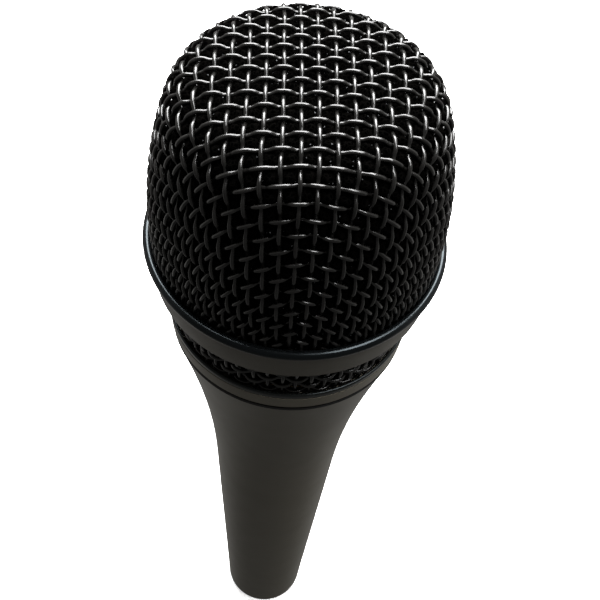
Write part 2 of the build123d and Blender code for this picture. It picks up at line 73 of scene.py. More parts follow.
def make_camera():
    """Close above the grille, looking steeply down along the handle."""
    forward = Vector((
        math.sin(CAMERA_YAW) * math.cos(CAMERA_PITCH),
        math.cos(CAMERA_YAW) * math.cos(CAMERA_PITCH),
        -math.sin(CAMERA_PITCH),
    ))
    level = Vector((math.cos(CAMERA_YAW), -math.sin(CAMERA_YAW), 0))
    right = math.cos(CAMERA_ROLL) * level + math.sin(CAMERA_ROLL) * level.cross(forward)
    up = right.cross(forward)
    camera = bpy.data.objects.new("camera", bpy.data.cameras.new("camera"))
    camera.data.lens = CAMERA_LENS
    camera.data.sensor_width = SENSOR
    camera.data.clip_start = 0.01
    camera.data.clip_end = 20
    turn = Matrix((right, up, -forward)).transposed()
    camera.matrix_world = Matrix.Translation((0, -CAMERA_DISTANCE, CAMERA_HEIGHT)) @ turn.to_4x4()
    bpy.context.scene.collection.objects.link(camera)
    bpy.context.scene.camera = camera


make_camera()

# ---------------------------------------------------------------- small mesh tools


def new_piece(name, vertices, faces, material, body):
    """A smooth-shaded mesh piece that rides on a body."""
    mesh = bpy.data.meshes.new(name)
    mesh.from_pydata(np.asarray(vertices).tolist(), [], faces)
    mesh.validate()
    mesh.shade_smooth()
    mesh.materials.append(material)
    piece = bpy.data.objects.new(name, mesh)
    bpy.context.scene.collection.objects.link(piece)
    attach(piece, body)
    return piece


def tube(path, normals, radius, sides, first):
    """Vertices and faces of a round wire with closed ends; first is its first vertex's number."""
    along = np.gradient(path, axis=0)
    along /= np.linalg.norm(along, axis=1, keepdims=True)
    out = normals - (normals * along).sum(1, keepdims=True) * along
    out /= np.linalg.norm(out, axis=1, keepdims=True)
    across = np.cross(along, out)
    turn = (2 * math.pi * np.arange(sides) / sides)[None, :, None]
    ring = np.cos(turn) * out[:, None] + np.sin(turn) * across[:, None]
    vertices = (path[:, None] + radius * ring).reshape(-1, 3)
    count = len(path)
    faces = []
    for row in range(count - 1):
        for side in range(sides):
            a = first + row * sides + side
            b = first + row * sides + (side + 1) % sides
            faces.append((a, b, b + sides, a + sides))
    faces.append(tuple(first + side for side in reversed(range(sides))))
    faces.append(tuple(first + (count - 1) * sides + side for side in range(sides)))
    return vertices, faces


def wires_piece(name, wires):
    """One piece of the grille from many wires, each a path with its surface normals."""
    vertices, faces, first = [], [], 0
    for path, normals in wires:
        ring_vertices, ring_faces = tube(path, normals, WIRE / 2, SIDES, first)
        vertices.append(ring_vertices)
        faces.extend(ring_faces)
        first += len(ring_vertices)
    return new_piece(name, np.concatenate(vertices), faces, WIRE_PAINT, "grille")


def turned(outline, steps, wobble=None):
    """Vertices and faces of a closed outline of (radius, height) points turned about Z."""
    outline = np.asarray(outline)
    angle = 2 * math.pi * np.arange(steps) / steps
    radius = np.repeat(outline[:, 0][:, None], steps, 1)
    height = np.repeat(outline[:, 1][:, None], steps, 1)
    if wobble is not None:
        shift = wobble(angle[None], radius, height)
        radius, height = radius + shift[0], height + shift[1]
    vertices = np.stack([radius * np.cos(angle), radius * np.sin(angle), height], 2).reshape(-1, 3)
    rows = len(outline)
    faces = []
    for row in range(rows):
        for step in range(steps):
            a = row * steps + step
            b = row * steps + (step + 1) % steps
            c = (row + 1) % rows * steps
            faces.append((a, b, c + (step + 1) % steps, c + step))
    return vertices, faces


# ---------------------------------------------------------------- materials


class Surface:
    """A principled material with object coordinates, built up node by node."""

    def __init__(self, name, colour, roughness, **fixed):
        self.material = bpy.data.materials.new(name)
        self.material.use_nodes = True
        self.tree = self.material.node_tree
        self.shader = self.tree.nodes["Principled BSDF"]
        self.place = self.node("ShaderNodeTexCoord").outputs["Object"]
        self.set("Base Color", (*colour, 1))
        self.set("Roughness", roughness)
        for socket, value in fixed.items():
            self.set(socket.replace("_", " "), value)

    def set(self, socket, value):
        self.shader.inputs[socket].default_value = value

    def node(self, kind, **values):
        made = self.tree.nodes.new(kind)
        for key, value in values.items():
            setattr(made, key, value)
        return made

    def link(self, start, end):
        self.tree.links.new(start, end)

    def noise(self, size, detail=3.0, rough=0.5):
        """Noise whose features are about size metres across."""
        made = self.node("ShaderNodeTexNoise")
        made.inputs["Scale"].default_value = 1 / size
        made.inputs["Detail"].default_value = detail
        made.inputs["Roughness"].default_value = rough
        self.link(self.place, made.inputs["Vector"])
        return made.outputs["Fac"]

    def cells(self, size, feature="F1"):
        made = self.node("ShaderNodeTexVoronoi", feature=feature)
        made.inputs["Scale"].default_value = 1 / size
        self.link(self.place, made.inputs["Vector"])
        return made

    def ramp(self, value, stops):
        """Colours along a value: stops are (position, colour)."""
        made = self.node("ShaderNodeValToRGB")
        elements = made.color_ramp.elements
        while len(elements) < len(stops):
            elements.new(0.5)
        for element, (position, colour) in zip(elements, stops):
            element.position = position
            element.color = (*colour, 1)
        self.link(value, made.inputs["Fac"])
        return made.outputs["Color"]

    def mottle(self, value, colour, darkest, lightest):
        """A colour varied by a noise value, between two shares of itself."""
        stops = [(0.3, scaled(colour, darkest)), (0.7, scaled(colour, lightest))]
        return self.ramp(value, stops)

    def spread(self, value, low, high, start=0.3, end=0.7):
        """The value's middle range stretched to low..high."""
        made = self.node("ShaderNodeMapRange")
        limits = {"From Min": start, "From Max": end, "To Min": low, "To Max": high}
        for socket, number in limits.items():
            made.inputs[socket].default_value = number
        self.link(value, made.inputs["Value"])
        return made.outputs["Result"]

    def maths(self, operation, first, second):
        made = self.node("ShaderNodeMath", operation=operation)
        for socket, value in zip(made.inputs, (first, second)):
            if isinstance(value, (int, float)):
                socket.default_value = value
            else:
                self.link(value, socket)
        return made.outputs[0]

    def mix(self, factor, first, second):
        made = self.node("ShaderNodeMix", data_type="RGBA")
        self.link(factor, made.inputs["Factor"])
        for socket, value in ((made.inputs[6], first), (made.inputs[7], second)):
            if isinstance(value, tuple):
                socket.default_value = (*value, 1)
            else:
                self.link(value, socket)
        return made.outputs[2]

    def above(self, height, soft=0.05 * MM):
        """0 under a height above the tail, 1 over it."""
        split = self.node("ShaderNodeSeparateXYZ")
        self.link(self.place, split.inputs[0])
        return self.spread(split.outputs["Z"], 0.0, 1.0, height - soft, height + soft)

    def bump(self, value, depth, strength=1.0):
        made = self.node("ShaderNodeBump")
        made.inputs["Distance"].default_value = depth
        made.inputs["Strength"].default_value = strength
        self.link(value, made.inputs["Height"])
        self.drive("Normal", made.outputs["Normal"])

    def drive(self, socket, value):
        self.link(value, self.shader.inputs[socket])

    def colour(self, value):
        self.drive("Base Color", value)

    def roughness(self, value):
        self.drive("Roughness", value)


# painted shade of the parting groove between handle and collar, laid on the paint at their meeting
# edges
PARTING_SHADE_COLOUR = (0.004, 0.004, 0.004)
PARTING_SHADE_SOFT = 0.03 * MM
FACE_SPECULAR = 0.5
BEAD_SPECULAR = 0.23
LIP_REFLECTION_BLUE = (0.8, 0.93, 1.0)           # painted blue tint of the lips' reflections, standing in for a bluish light


def scaled(colour, factor):
    return tuple(channel * factor for channel in colour)


def powder_coat(name, colour, roughness, shade_height):
    """Satin paint: faint mottling, orange-peel bump, and near-black painted shade of the parting
    groove along its top edge.
    """
    surface = Surface(name, colour, roughness)
    painted = surface.mottle(surface.noise(9 * MM, 4.0), colour, 0.96, 1.04)
    surface.colour(surface.mix(surface.above(shade_height, PARTING_SHADE_SOFT), painted, PARTING_SHADE_COLOUR))
    surface.roughness(surface.spread(surface.noise(5 * MM), roughness - 0.015, roughness + 0.02))
    surface.bump(surface.noise(0.22 * MM, 2.0), 0.012 * MM, 0.6)
    return surface


def coat_with_bead(name, face, bead, face_roughness, bead_roughness, bead_height, foot_shade_height=0.0):
    """A painted ring: near-black painted shade of the parting groove up to the given foot height,
    satin face, glossy lip above bead_height.
    """
    surface = Surface(name, face, face_roughness)
    lip = surface.above(bead_height)
    painted = surface.mottle(surface.noise(6 * MM, 4.0), face, 0.92, 1.08)
    # the foot is painted near black as shade of the parting groove
    body = surface.mix(surface.above(foot_shade_height, PARTING_SHADE_SOFT), PARTING_SHADE_COLOUR, painted)
    surface.colour(surface.mix(lip, body, bead))
    surface.drive("Specular IOR Level", surface.spread(lip, FACE_SPECULAR, BEAD_SPECULAR, 0.0, 1.0))
    # the lips' reflections are tinted faintly blue: painted colour of a bluish light
    surface.drive("Specular Tint", surface.mix(lip, (1, 1, 1), LIP_REFLECTION_BLUE))
    fine = surface.spread(surface.noise(3 * MM), -0.03, 0.03)
    level = surface.spread(lip, face_roughness, bead_roughness, 0.0, 1.0)
    surface.roughness(surface.maths("ADD", fine, level))
    surface.bump(surface.noise(0.2 * MM, 2.0), 0.008 * MM, 0.5)
    return surface


def rubber(name, colour, roughness=0.75):
    surface = Surface(name, colour, roughness)
    surface.colour(surface.mottle(surface.noise(2 * MM), colour, 0.8, 1.25))
    surface.bump(surface.noise(0.15 * MM), 0.02 * MM, 0.6)
    return surface


def plastic(name, colour, roughness=0.45):
    """Moulded plastic with a spark-eroded grain."""
    surface = Surface(name, colour, roughness)
    surface.colour(surface.mottle(surface.noise(4 * MM), colour, 0.88, 1.12))
    surface.roughness(surface.spread(surface.noise(1 * MM), roughness - 0.06, roughness + 0.08))
    surface.bump(surface.cells(0.25 * MM).outputs["Distance"], 0.01 * MM, 0.5)
    return surface


def metal(name, colour, roughness, turned_marks=True):
    """Bare metal, with fine turning marks along its height or else evenly rough."""
    surface = Surface(name, colour, roughness, Metallic=1.0)
    surface.colour(surface.mottle(surface.noise(3 * MM), colour, 0.85, 1.1))
    if turned_marks:
        split = surface.node("ShaderNodeSeparateXYZ")
        surface.link(surface.place, split.inputs[0])
        marks = surface.node("ShaderNodeTexNoise", noise_dimensions="1D")
        marks.inputs["Scale"].default_value = 1 / (0.12 * MM)
        surface.link(split.outputs["Z"], marks.inputs["W"])
        grain = marks.outputs["Fac"]
        surface.bump(grain, 0.01 * MM, 0.5)
    else:
        grain = surface.noise(0.5 * MM)
    surface.roughness(surface.spread(grain, roughness - 0.05, roughness + 0.1))
    return surface


def wire_paint():
    """Black enamel on wire: glossy on top, thin and a little dusty in places."""
    colour = (0.005, 0.0048, 0.0045)
    surface = Surface("wire_enamel", colour, 0.16, Specular_IOR_Level=0.5)
    dust = surface.noise(1.5 * MM, 5.0)
    surface.colour(surface.ramp(dust, [(0.35, colour), (0.75, scaled(colour, 2.0))]))
    surface.roughness(surface.spread(dust, 0.17, 0.28))
    surface.bump(surface.noise(0.12 * MM), 0.006 * MM, 0.5)
    return surface.material


def foam_skin():
    """Open-cell foam: near-black struts round pores painted darker as shade, with small grey specks
    painted on as glints of light.
    """
    surface = Surface("black_foam", (0.001, 0.001, 0.001), 1.0, Specular_IOR_Level=0.0)
    pores = surface.cells(0.55 * MM, "DISTANCE_TO_EDGE")
    # the pores are painted darker than the struts: painted shade inside the cells
    strut, pore_shade = (0.0012, 0.0011, 0.0010), (0.0002, 0.0002, 0.0002)
    struts = surface.ramp(pores.outputs["Distance"], [(0.0, strut), (0.22, pore_shade)])
    # small grey specks painted on the foam as glints of light
    glint_cells = surface.cells(1.2 * MM)
    near = surface.spread(glint_cells.outputs["Distance"], 1.0, 0.0, 0.05, 0.10)
    surface.colour(surface.mix(near, struts, (0.08, 0.082, 0.085)))
    surface.bump(pores.outputs["Distance"], 0.25 * MM, 1.0)
    return surface.material


def woven_cloth():
    surface = Surface("acoustic_cloth", (0.02, 0.02, 0.02), 0.9)
    threads = [surface.node("ShaderNodeTexWave", bands_direction=axis) for axis in ("X", "Y")]
    for wave in threads:
        wave.inputs["Scale"].default_value = 1 / (1.2 * MM)
        surface.link(surface.place, wave.inputs["Vector"])
    weave = surface.maths("MULTIPLY", threads[0].outputs["Fac"], threads[1].outputs["Fac"])
    surface.colour(surface.ramp(weave, [(0.0, (0.008, 0.008, 0.008)), (1.0, (0.05, 0.05, 0.05))]))
    surface.bump(weave, 0.05 * MM, 1.0)
    return surface.material


def felt():
    surface = Surface("grey_felt", (0.35, 0.34, 0.32), 1.0)
    fibres = surface.noise(0.3 * MM, 8.0, 0.8)
    surface.colour(surface.ramp(fibres, [(0.3, (0.2, 0.19, 0.18)), (0.7, (0.42, 0.41, 0.38))]))
    surface.bump(fibres, 0.2 * MM, 1.0)
    return surface.material


def winding(name, colour):
    """Fine enamelled wire wound round the axis."""
    surface = Surface(name, colour, 0.3, Metallic=1.0)
    wave = surface.node("ShaderNodeTexWave", bands_direction="Z")
    wave.inputs["Scale"].default_value = 1 / (0.8 * MM)
    surface.link(surface.place, wave.inputs["Vector"])
    # the darker bands between the turns are painted shade between the wires
    surface.colour(surface.ramp(wave.outputs["Fac"], [(0.0, scaled(colour, 0.4)), (1.0, colour)]))
    surface.bump(wave.outputs["Fac"], 0.04 * MM, 1.0)
    return surface.material


def film():
    """Thin amber film, slightly wrinkled."""
    surface = Surface("amber_film", (0.55, 0.42, 0.2), 0.15,
                      Transmission_Weight=0.5, Coat_Weight=0.4)
    surface.roughness(surface.spread(surface.noise(1 * MM), 0.12, 0.25))
    surface.bump(surface.noise(0.8 * MM), 0.02 * MM, 0.5)
    return surface.material


def board():
    surface = Surface("green_board", (0.03, 0.12, 0.05), 0.35, Coat_Weight=0.3)
    glass = surface.cells(0.8 * MM)
    stops = [(0.0, (0.02, 0.09, 0.04)), (0.6, (0.04, 0.15, 0.06))]
    surface.colour(surface.ramp(glass.outputs["Distance"], stops))
    surface.bump(glass.outputs["Distance"], 0.01 * MM, 0.5)
    return surface.material


def paint_node(names, material):
    for name in names:
        slots = nodes[name].data.materials
        slots.clear()
        slots.append(material)


HANDLE_COLOUR = (0.092, 0.083, 0.062)
BAND_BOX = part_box("grille_band")
COLLAR_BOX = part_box("grille_collar")
BAND_BEAD_Z = BAND_BOX[1].z - 1.47 * MM
COLLAR_BEAD_Z = COLLAR_BOX[1].z - 1.25 * MM

# the handle's top 0.3 mm and the collar's lowest 0.2 mm are painted near black as shade of the
# parting groove
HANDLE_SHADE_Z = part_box("handle_shell")[1].z - 0.30 * MM
COLLAR_SHADE_Z = COLLAR_BOX[0].z + 0.20 * MM

paint_node(["handle_shell"],
           powder_coat("handle_powder_coat", HANDLE_COLOUR, 0.42, HANDLE_SHADE_Z).material)
paint_node(["parting_gasket"], rubber("gasket_rubber", (0.003, 0.003, 0.003), 0.9).material)
paint_node(["shock_mount_upper", "shock_mount_lower"],
           rubber("shock_rubber", (0.02, 0.02, 0.022)).material)
paint_node(["capsule_carrier", "connector_insert", "clamp_ring", "front_cap"],
           plastic("black_plastic", (0.02, 0.02, 0.02)).material)
paint_node(["capsule_housing", "rear_chamber"],
           plastic("grey_plastic", (0.12, 0.12, 0.12)).material)
paint_node(["contact_pin_1", "contact_pin_2", "contact_pin_3", "earth_spring"],
           metal("silver_plate", (0.78, 0.76, 0.72), 0.2).material)
paint_node(["insert_screw", "carrier_screws"],
           metal("screw_steel", (0.42, 0.42, 0.43), 0.3, False).material)
paint_node(["magnet_yoke", "pole_piece"], metal("soft_iron", (0.5, 0.5, 0.5), 0.35).material)
paint_node(["magnet"], metal("nickel_plate", (0.65, 0.63, 0.58), 0.18, False).material)
paint_node(["hum_coil"], winding("hum_winding", (0.75, 0.3, 0.14)))
paint_node(["voice_coil"], winding("voice_winding", (0.8, 0.36, 0.16)))
paint_node(["diaphragm", "diaphragm_surround"], film())
paint_node(["front_cloth"], woven_cloth())
paint_node(["rear_felt"], felt())
paint_node(["terminal_board"], board())
paint_node(["signal_lead_hot"], rubber("lead_red", (0.4, 0.02, 0.02), 0.45).material)
paint_node(["signal_lead_cold"], rubber("lead_blue", (0.02, 0.05, 0.3), 0.45).material)
paint_node(["earth_lead"], rubber("lead_black", (0.015, 0.015, 0.015), 0.45).material)

# the band's face is the handle's paint darkened to 0.7 as painted shade, the collar's face the same
# paint lightened to 1.2 as painted light
BAND_SHADED_PAINT = coat_with_bead(
    "band_paint", scaled(HANDLE_COLOUR, 0.7), (0.003, 0.0036, 0.004), 0.5, 0.22, BAND_BEAD_Z
).material
COLLAR_LIT_PAINT = coat_with_bead(
    "collar_paint", scaled(HANDLE_COLOUR, 1.2), (0.012, 0.013, 0.012), 0.45, 0.2, COLLAR_BEAD_Z,
    COLLAR_SHADE_Z).material
WIRE_PAINT = wire_paint()
FOAM = foam_skin()
BRASS = metal("turned_brass", (0.62, 0.47, 0.24), 0.25).material

# ---------------------------------------------------------------- the woven dome

WIRE = 0.62 * MM
PITCH = 2.33 * MM                    # of the flat cloth, before it was drawn over the dome
NET_TURN = math.radians(4.0)         # the cloth's warp runs this far off the camera's line
WARP_SHIFT = 0.43                    # of a pitch, from the dome's middle to the nearest warp wire
CRIMP_FLATNESS = 1.6
STEPS = 8                            # tube rings from one crossing to the next
SIDES = 8
SWAY = 0.018                         # of a pitch, how far a wire bends off its line
NET_LINES = 21                       # wires tried on each side of the dome's middle
NET_REACH = 24                       # pitches, more than the longest wire's half
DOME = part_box("dome_mesh")
DOME_TOP = DOME[1].z
DOME_R = DOME[1].x
DOME_WIDEST_Z = 158.0 * MM
DOME_SIDE_RADIUS = 72.0 * MM
DOME_TOP_RADIUS = 96.0 * MM
DOME_SHOULDER = 8.0 * MM
NET_FOOT_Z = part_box("grille_band")[0].z + 4.0 * MM


def dome_outline(inset, foot_z, step=0.1 * MM):
    """Half outline of the dome from the apex down to foot_z: its top arc, shoulder and side arc."""
    side = np.array([DOME_R - DOME_SIDE_RADIUS, DOME_WIDEST_Z])
    top = np.array([0.0, DOME_TOP - DOME_TOP_RADIUS])
    # the shoulder's centre, where its arc is tangent inside both the side arc and the top arc
    span = math.hypot(*(side - top))
    unit = (side - top) / span
    to_side = DOME_SIDE_RADIUS - DOME_SHOULDER
    to_top = DOME_TOP_RADIUS - DOME_SHOULDER
    along = (to_top**2 - to_side**2 + span**2) / (2 * span)
    across = math.sqrt(to_top**2 - along**2)
    shoulder = top + along * unit + across * np.array([unit[1], -unit[0]])
    side_end = math.atan2(shoulder[1] - side[1], shoulder[0] - side[0])
    top_start = math.atan2(shoulder[1] - top[1], shoulder[0])
    foot = math.asin((foot_z - DOME_WIDEST_Z) / (DOME_SIDE_RADIUS - inset))
    points = []
    for centre, radius, first, last in (
        (top, DOME_TOP_RADIUS - inset, math.pi / 2, top_start),
        (shoulder, DOME_SHOULDER - inset, top_start, side_end),
        (side, DOME_SIDE_RADIUS - inset, side_end, foot),
    ):
        count = max(2, round(abs(first - last) * radius / step))
        angle = np.linspace(first, last, count, endpoint=False)
        points.append(centre + radius * np.stack([np.cos(angle), np.sin(angle)], 1))
    points.append(side + (DOME_SIDE_RADIUS - inset) * np.array([[math.cos(foot), math.sin(foot)]]))
    return np.concatenate(points)


NET_OUTLINE = dome_outline(WIRE, NET_FOOT_Z)
NET_ARC = np.concatenate([[0], np.cumsum(np.hypot(*np.diff(NET_OUTLINE, axis=0).T))])
NET_SLOPE = np.gradient(NET_OUTLINE, NET_ARC, axis=0)
NET_LENGTH = NET_ARC[-1]


def draw_power(reach):
    """Exponent of the superellipses that the cloth's squares become round the dome.

    It goes by arc length from the apex: 2 is the plain distance of the flat top, and 1 the sheared
    diagonals of the side.
    """
    return 1.15 + 0.85 / (1 + (reach / (27 * MM)) ** 3.2)


def drawn_reach(across, along):
    """Arc length from the apex to a point of the cloth, given in flat pitches from its middle."""
    across, along = np.abs(across), np.abs(along)
    reach = PITCH * np.hypot(across, along)
    for _ in range(40):
        power = draw_power(reach)
        wanted = PITCH * (across**power + along**power) ** (1 / power)
        reach = 0.5 * (reach + wanted)
    return reach


def quarter_azimuth(share, reach):
    """Angle from the warp's direction: true on the flat top, evened out by share below."""
    plain = np.arctan2(share, 1 - share)
    even = math.pi / 2 * share + math.radians(1.5) * np.sin(2 * math.pi * share)
    blend = np.clip((reach + (28 * np.minimum(share, 1 - share) - 20) * MM) / (25 * MM), 0, 1)
    return (1 - blend) * plain + blend * even


def drawn_azimuth(across, along, reach):
    """Angle round the axis of a point of the cloth, 0 towards the camera."""
    share = np.abs(across) / np.maximum(np.abs(across) + np.abs(along), 1e-9)
    angle = quarter_azimuth(share, reach)
    angle = np.where(along < 0, math.pi - angle, angle)
    return np.where(across < 0, -angle, angle) + NET_TURN


def cloth_place(reach, azimuth):
    """The other way round: the flat place, in pitches, of a point of the dome."""
    turn = np.mod(azimuth - NET_TURN + math.pi, 2 * math.pi) - math.pi
    plain = np.minimum(np.abs(turn), math.pi - np.abs(turn))
    low, high = np.zeros_like(plain), np.ones_like(plain)
    for _ in range(30):
        share = (low + high) / 2
        beyond = quarter_azimuth(share, reach) > plain
        low, high = np.where(beyond, low, share), np.where(beyond, share, high)
    power = draw_power(reach)
    size = reach / PITCH / (share**power + (1 - share) ** power) ** (1 / power)
    return np.sign(turn) * size * share, np.sign(math.pi / 2 - np.abs(turn)) * size * (1 - share)


def drawn_points(across, along, lift):
    """Places and outward normals of points of the cloth on the dome, lifted off its middle."""
    reach = drawn_reach(across, along)
    azimuth = drawn_azimuth(across, along, reach)
    radius = np.interp(reach, NET_ARC, NET_OUTLINE[:, 0])
    height = np.interp(reach, NET_ARC, NET_OUTLINE[:, 1])
    out = -np.interp(reach, NET_ARC, NET_SLOPE[:, 1])
    up = np.interp(reach, NET_ARC, NET_SLOPE[:, 0])
    turn = np.stack([np.sin(azimuth), -np.cos(azimuth)], 1)
    normals = np.concatenate([out[:, None] * turn, up[:, None]], 1)
    places = np.concatenate([radius[:, None] * turn, height[:, None]], 1)
    return places + lift[:, None] * normals, normals


def crimp(place):
    """Height of a woven wire, from 1 on top to -1 underneath: flat tops, straight legs."""
    return np.tanh(CRIMP_FLATNESS * np.cos(math.pi * place)) / math.tanh(CRIMP_FLATNESS)


def dome_wires(lines, is_warp, random):
    """Wires of one direction of the cloth, each with a little bend of its own."""
    wires = []
    reach_out = np.linspace(0, NET_REACH, NET_REACH * 40)
    for line in lines:
        reach = drawn_reach(np.full_like(reach_out, line), reach_out)
        if reach[0] > NET_LENGTH - PITCH:
            continue
        end = np.interp(NET_LENGTH, reach, reach_out)
        count = int(math.ceil(2 * end * STEPS)) + 1
        run = np.linspace(-end, end, count)
        sway = sum(
            random.uniform(-SWAY, SWAY) * np.sin(run / span + random.uniform(0, 2 * math.pi))
            for span in (0.7, 1.6, 3.1)
        )
        number = line - WARP_SHIFT if is_warp else line
        side = -1 if is_warp else 1
        lift = side * (-1) ** round(number) * crimp(run if is_warp else run - WARP_SHIFT) * WIRE / 2
        across, along = (line + sway, run) if is_warp else (run, line + sway)
        wires.append(drawn_points(across, along, lift))
    return wires


def make_dome():
    random = np.random.default_rng(SEED)
    warp_lines = np.arange(-NET_LINES, NET_LINES) + WARP_SHIFT
    weft_lines = np.arange(-NET_LINES, NET_LINES + 1.0)
    warp = wires_piece("dome_warp_wires", dome_wires(warp_lines, True, random))
    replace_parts(warp, "dome_mesh")
    wires_piece("dome_weft_wires", dome_wires(weft_lines, False, random))


make_dome()

# ---------------------------------------------------------------- the woven cone under the band

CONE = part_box("lower_mesh")
CONE_TOP_R = CONE[1].x
CONE_FOOT_R = 20.2 * MM
CONE_UPRIGHTS = 56
CONE_RINGS = 5
CONE_SWAY = 0.06                     # of the gap between uprights


def cone_surface(height, azimuth, lift):
    """Points and normals on the middle surface of the lower mesh."""
    span = CONE[1].z - CONE[0].z
    slope = (CONE_TOP_R - CONE_FOOT_R) / span
    length = math.hypot(1, slope)
    radius = CONE_FOOT_R - WIRE + slope * (height - CONE[0].z) + lift / length
    turn = np.stack([np.cos(azimuth), np.sin(azimuth)], 1)
    normals = np.concatenate([turn / length, np.full((len(turn), 1), -slope / length)], 1)
    lifted = (height - lift * slope / length)[:, None]
    return np.concatenate([radius[:, None] * turn, lifted], 1), normals


def make_cone():
    random = np.random.default_rng(SEED + 1)
    row_gap = (CONE[1].z - CONE[0].z) / CONE_RINGS
    uprights = []
    for number in range(CONE_UPRIGHTS):
        place = np.linspace(0, CONE_RINGS, CONE_RINGS * STEPS + 1)
        height = CONE[0].z + place * row_gap
        turn = 2 * math.pi * (number + random.uniform(-CONE_SWAY, CONE_SWAY)) / CONE_UPRIGHTS
        azimuth = np.full_like(place, turn)
        lift = (-1) ** number * crimp(place - 0.5) * WIRE / 2
        uprights.append(cone_surface(height, azimuth, lift))
    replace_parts(wires_piece("cone_warp_wires", uprights), "lower_mesh")
    rings = []
    for number in range(CONE_RINGS):
        place = np.linspace(0, CONE_UPRIGHTS, CONE_UPRIGHTS * STEPS + 1)
        azimuth = 2 * math.pi * place / CONE_UPRIGHTS
        height = np.full_like(place, CONE[0].z + (number + 0.5) * row_gap)
        lift = -((-1) ** number) * crimp(place) * WIRE / 2
        rings.append(cone_surface(height, azimuth, lift))
    wires_piece("cone_weft_wires", rings)


make_cone()

# ---------------------------------------------------------------- foam

FOAM_ROUGHNESS = 0.25 * MM
FOAM_PILLOW = 0.95 * MM              # how far the foam bulges into each opening of the cloth
FOAM_PRESS = 0.3 * MM                # how deep the inner wires sink into it
FOAM_SKIRT = 1.3 * MM                # the lower foam reaches down behind the collar's lip


def foam_piece(name, outer, inner, steps, replaced, pillow=None):
    """Foam ring between two outlines, its outer skin rough and pushed out by a pillow function."""
    random = np.random.default_rng(SEED + 2)
    outline = np.concatenate([outer, inner[::-1]])
    rows = len(outer)
    pits = FOAM_ROUGHNESS * random.uniform(0, 1, (rows, steps)) ** 2

    def wobble(angle, radius, height):
        push = np.zeros_like(radius)
        push[:rows] = -pits
        if pillow is not None:
            push[:rows] += pillow(angle)
        slope = np.gradient(outline, axis=0)
        slope /= np.linalg.norm(slope, axis=1, keepdims=True)
        return push * -slope[:, 1:], push * slope[:, :1]

    vertices, faces = turned(outline, steps, wobble)
    piece = new_piece(name, vertices, faces, FOAM, "grille")
    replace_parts(piece, replaced)


def make_foams():
    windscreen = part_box("foam_windscreen")
    inset = DOME_TOP - windscreen[1].z - FOAM_PRESS
    outer = dome_outline(inset, windscreen[0].z, 0.4 * MM)[1:]
    inner = dome_outline(inset + 3.0 * MM, windscreen[0].z, 1.5 * MM)[1:]
    reach = NET_LENGTH * np.linspace(0, 1, len(outer) + 1)[1:]

    def pillow(angle):
        """Bulge of the foam, none under the wires and most in the middle of each opening."""
        around, down = np.broadcast_arrays(angle + math.pi / 2, reach[:, None])
        across, along = cloth_place(down.ravel(), around.ravel())
        bulge = np.abs(np.sin(math.pi * (across - WARP_SHIFT)) * np.sin(math.pi * along)) ** 1.2
        return FOAM_PILLOW * bulge.reshape(down.shape)

    foam_piece("windscreen_foam", outer, inner, 360, "foam_windscreen", pillow)
    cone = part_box("cone_foam")
    span = cone[1].z - cone[0].z + FOAM_SKIRT
    slope = (CONE_TOP_R - CONE_FOOT_R) / (CONE[1].z - CONE[0].z)
    top_r = cone[1].x - 0.02 * MM
    share = np.linspace(0, 1, 20)
    outer = np.stack([top_r - slope * span * share, cone[1].z - span * share], 1)
    inner = outer[::4] - [1.45 * MM, 0]
    foam_piece("lower_foam", outer, inner, 300, "cone_foam")


make_foams()

# ---------------------------------------------------------------- band and collar, with lips

LATHE_STEPS = 256
CREASE = math.radians(28)
LIP_R = 0.8                          # of the band, in the lathe outlines' millimetres
COLLAR_LIP_R = 0.3


def arc(centre, radius, first, last, count=9):
    """Points of an arc in a turned outline, by angles in degrees from the outward direction."""
    turn = np.radians(np.linspace(first, last, count))
    return [(centre[0] + radius * math.cos(t), centre[1] + radius * math.sin(t)) for t in turn]


def lathe(name, outline, material, body, replaced):
    vertices, faces = turned([(r * MM, z * MM) for r, z in outline], LATHE_STEPS)
    piece = new_piece(name, vertices, faces, material, body)
    piece.data.set_sharp_from_angle(angle=CREASE)
    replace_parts(piece, replaced)


def make_band():
    """Tapered face, a fine groove, and a half-round glossy lip that the dome sits in."""
    top, foot = BAND_BOX[1].z / MM, BAND_BOX[0].z / MM
    lip = BAND_BOX[1].x / MM - LIP_R
    outline = [(22.8, foot), (23.05, foot)] + arc((23.05, foot + 0.15), 0.15, -80, -10, 5)
    outline += [(24.17, top - 1.52), (24.12, top - 1.46)]
    outline += arc((lip, top - LIP_R), LIP_R, -50, 120, 21)
    outline += [(22.95, 147.6), (21.3, 147.6), (21.3, 147.0), (22.8, 147.0)]
    lathe("band_lathe", outline, BAND_SHADED_PAINT, "grille", "grille_band")


def make_collar():
    """Threaded collar with the same kind of lip, round the foot of the lower mesh."""
    top, foot = COLLAR_BOX[1].z / MM, COLLAR_BOX[0].z / MM
    bead = COLLAR_BOX[1].x / MM - COLLAR_LIP_R - 0.04
    outline = [(18.5, foot), (20.72, foot)] + arc((20.75, foot + 0.25), 0.25, -90, 0, 6)
    outline += [(21.18, top - 1.36), (21.1, top - 1.27), (21.14, top - 1.18)]
    outline += arc((bead, top - COLLAR_LIP_R), COLLAR_LIP_R, 0, 180, 13)
    outline += [(20.4, 134.75), (18.5, 134.75)]
    lathe("collar_lathe", outline, COLLAR_LIT_PAINT, "grille", "grille_collar")


make_band()
make_collar()

# ---------------------------------------------------------------- neck ring with its real thread

THREAD_PITCH = 1.0 * MM
THREAD_DEPTH = 0.55 * MM
THREAD_STEPS = 144


